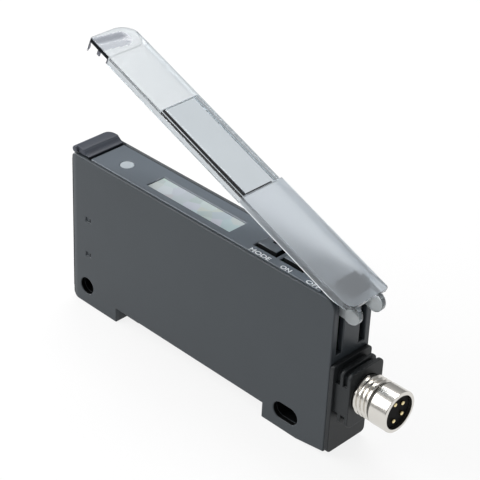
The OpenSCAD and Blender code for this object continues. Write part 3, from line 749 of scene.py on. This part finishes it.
dish_r = 1.75 * MM
dish_depth = 0.3 * MM
dish_from = Vector((-63.6 * MM, -5.0 * MM))
dish_to = Vector((-62.8 * MM, 0.6 * MM))
dish_axis = dish_to - dish_from
dish_cut = 0.24 * MM
dish_rows = 21
dish_columns = 34
dish_front = -4.7 * MM
for i in range(1, dish_rows + 1):
    cut(bm, hinge + along_plate * (nose_end - i * dish_cut), along_plate, nose_top(bm))
for i in range(dish_columns):
    cut(bm, (0, dish_front + i * dish_cut, 0), (0, 1, 0), nose_top(bm))
for v in bm.verts:
    reach, depth = on_plate(v.co)
    spot = Vector((reach, v.co.y - hinge.y)) - dish_from
    share = max(0, min(1, spot.dot(dish_axis) / dish_axis.length_squared))
    off = (spot - dish_axis * share).length / dish_r
    if off < 1 and depth < skin:
        v.co -= plate_normal * dish_depth * (1 - off ** 2) ** 2
bm.normal_update()

names = list(cover_materials)
for face in bm.faces:
    centre = face.calc_center_median()
    reach, depth = on_plate(centre)
    y = centre.y - hinge.y
    rise = face.normal.dot(plate_normal)
    in_nose = reach < nose_end
    in_field = field_start < reach < field_end
    at_hinge = reach > field_end
    in_middle = not in_nose and not at_hinge
    on_front = face.normal.y < -facing and y < front_skin
    use = "polished"
    if rise > facing and not in_field:
        use = "blurred" if at_hinge else "frosted"
    # Painted highlight along the lower rim of the front skirt at the hinge
    if at_hinge and on_front:
        use = "rim_highlight" if depth > rim_start else "skirt"
    if at_hinge and depth > leg_start:
        use = "milky"
    # Painted shadow: a near black patch under the plate between the hinge legs, seen through the frost
    if shade_patch_start < reach < shade_patch_end and rise < -facing and depth < plate_under and abs(y) < shade_patch_half:
        use = "edge"
    if in_field and depth < field_t and abs(rise) > flat_on:
        use = "field"
    if in_middle and abs(face.normal.y) > facing and y > back_wall:
        use = "field"
    # Painted shade on the field's front fillet, its end wall and the line under its end
    if in_field and fillet_top < depth < fillet_end and face.normal.y > leaning and y < 0:
        use = "edge"
    if abs(reach - field_end) < 0.05 * MM and face.normal.dot(along_plate) < -facing:
        use = "edge"
    if line_start < reach < field_end and depth < field_t and rise < -flat_on and y < line_back:
        use = "edge"
    if in_middle and depth > rim_start and face.normal.y < -rounding:
        use = "skirt"
    # Painted shade on the nose's prongs
    if in_nose and depth > fillet_end:
        use = "prong"
    # Painted shade in the dish: each face takes a darker tint the steeper it slopes
    if in_nose and 0.005 * MM < depth < dish_depth + 0.05 * MM and rise > facing:
        slope = max(0, face.normal.dot(along_plate), -face.normal.y)
        use = "dish_%d" % min(len(dish_painted_shades) - 1, int(slope / dish_slope))
    # Painted shade on the nose's front wall
    if in_nose and on_front and depth < nose_wall + 0.01 * MM:
        use = "edge"
    face.material_index = names.index(use)
bm.to_mesh(cover.data)
bm.free()
frame["nodes"]["hinge_pin"].data.materials[0] = ground_steel

# Connector block
# End plate and ribbed block of black glass filled nylon, moulded as one, which close the plug end.
# The halves of the housing hold the plate by its edges.

# Glass filled nylon: black and a little dull, because the short fibres roughen its face
block_pa = moulded_plastic("glass_filled_nylon_black", "#26292B", 0.45, 0.35, 0.01)
block = eased("connector_block", 0.12)
block.data.materials.append(block_pa)

# Plug shell
# A turned brass sleeve, nickel plated and pressed into the block: a thread at the block, a groove for the
# seal and a smooth front.

# Nickel plate on turned brass: a slightly warm mirror, drawn out by the tool's fine lines round the sleeve
nickel = bright_metal("nickel_plate_on_turned_brass", "#D8D5CF", 0.2, 0.15, 0.003, (1, 0.05, 0.05))
shell_low, shell_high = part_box("connector_shell")
insert_low, insert_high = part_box("connector_insert")
ring_low, ring_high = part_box("seal_ring")
block_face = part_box("connector_block")[1].x
axis = Vector((0, 0, (shell_low.z + shell_high.z) / 2))
sleeve_r = (shell_high.z - shell_low.z) / 2
bore_play = 0.02 * MM
bore_r = (insert_high.z - insert_low.z) / 2 + bore_play
groove_half = 0.15 * MM
groove_runout = 0.25 * MM
groove_depth = 0.46 * MM
groove_start = (ring_low.x + ring_high.x) / 2 - groove_half - groove_runout
groove_end = (ring_low.x + ring_high.x) / 2 + groove_half
groove_r = sleeve_r - groove_depth
crest_drop = 0.05 * MM
thread_h = 0.45 * MM
crest_r = sleeve_r - crest_drop
root_r = crest_r - thread_h
lip = 0.08 * MM
rim_round = 0.2 * MM
sleeve_steps = 96
profile = [
    (shell_low.x, bore_r),
    (shell_low.x, root_r),
    (groove_start, root_r),
    (groove_start, groove_r),
    (groove_end, groove_r),
    (groove_end, sleeve_r - lip),
    (groove_end + lip, sleeve_r),
    (shell_high.x - rim_round, sleeve_r),
    (shell_high.x - rim_round * 0.3, sleeve_r - rim_round * 0.3),
    (shell_high.x, sleeve_r - rim_round),
    (shell_high.x, bore_r),
]
bm = bmesh.new()
ring = [bm.verts.new((x, 0, axis.z + r)) for x, r in profile]
for a, b in zip(ring, ring[1:] + ring[:1]):
    bm.edges.new((a, b))
bmesh.ops.spin(
    bm, geom=bm.verts[:] + bm.edges[:], cent=axis, axis=(1, 0, 0), angle=2 * math.pi,
    steps=sleeve_steps, use_merge=True,
)
bmesh.ops.remove_doubles(bm, verts=bm.verts, dist=0.001 * MM)
bmesh.ops.recalc_face_normals(bm, faces=bm.faces)
shell = stands_for(finished(bm, "connector_shell_turned"), "connector_shell")
shell.data.materials.append(nickel)

thread_pitch = 0.9 * MM
thread_turns = 3.4
thread_steps = 48
thread_gap = 0.05 * MM
foot_sink = 0.05 * MM
thread_x = block_face + thread_gap
foot_r = root_r - foot_sink
flank = [(0, foot_r), (0.38, crest_r), (0.55, crest_r), (0.93, foot_r)]
bm = bmesh.new()
tooth = bm.faces.new([bm.verts.new((thread_x + t * thread_pitch, 0, axis.z + r)) for t, r in flank])
bmesh.ops.spin(
    bm, geom=[tooth] + tooth.verts[:] + tooth.edges[:], cent=axis, axis=(1, 0, 0),
    dvec=(thread_pitch / thread_steps, 0, 0), angle=2 * math.pi * thread_turns,
    steps=int(thread_steps * thread_turns),
)
bmesh.ops.recalc_face_normals(bm, faces=bm.faces)
thread = goes_with(finished(bm, "connector_thread"), "connector_shell")
thread.data.materials.append(nickel)

# Seal
# A moulded ring of grey nitrile rubber, stretched into the shell's groove.
# It seals the plug against the socket that is screwed on.

# Nitrile rubber: a warm grey with a soft, slightly greasy sheen
frame["nodes"]["seal_ring"].data.materials[0] = moulded_plastic(
    "nitrile_rubber_grey", "#55544F", 0.3, 0.2, 0.003, 0.5,
)

# Insert and contacts
# A black nylon insert fills the sleeve and holds four turned brass contacts with round ends, gold plated.
# Behind it, tinned copper leads go from the contacts to the upright board.

# Moulded nylon: a flat black, painted darker than the nylon as painted shade deep in the sleeve
insert_pa = moulded_plastic("nylon_insert_black_painted_shade", "#060505", 0.6, 0.3, 0.006, 0.1)
insert = eased("connector_insert", 0.1)
insert.data.materials.append(insert_pa)
# Gold plate: a pale yellow mirror that glints on the round ends
gold = bright_metal("gold_plate_on_turned_brass", "#EEDCA9", 0.2, 0.1, 0.002, (1, 0.1, 0.1))
pins = eased("contact_pins", 0.2, 4)
pins.data.materials.append(gold)
# Tinned copper: a warm, soft silver
frame["nodes"]["lead_wires"].data.materials[0] = bright_metal(
    "tinned_copper", "#B9B2A6", 0.3, 0.1, 0.003, (1, 0.2, 1),
)
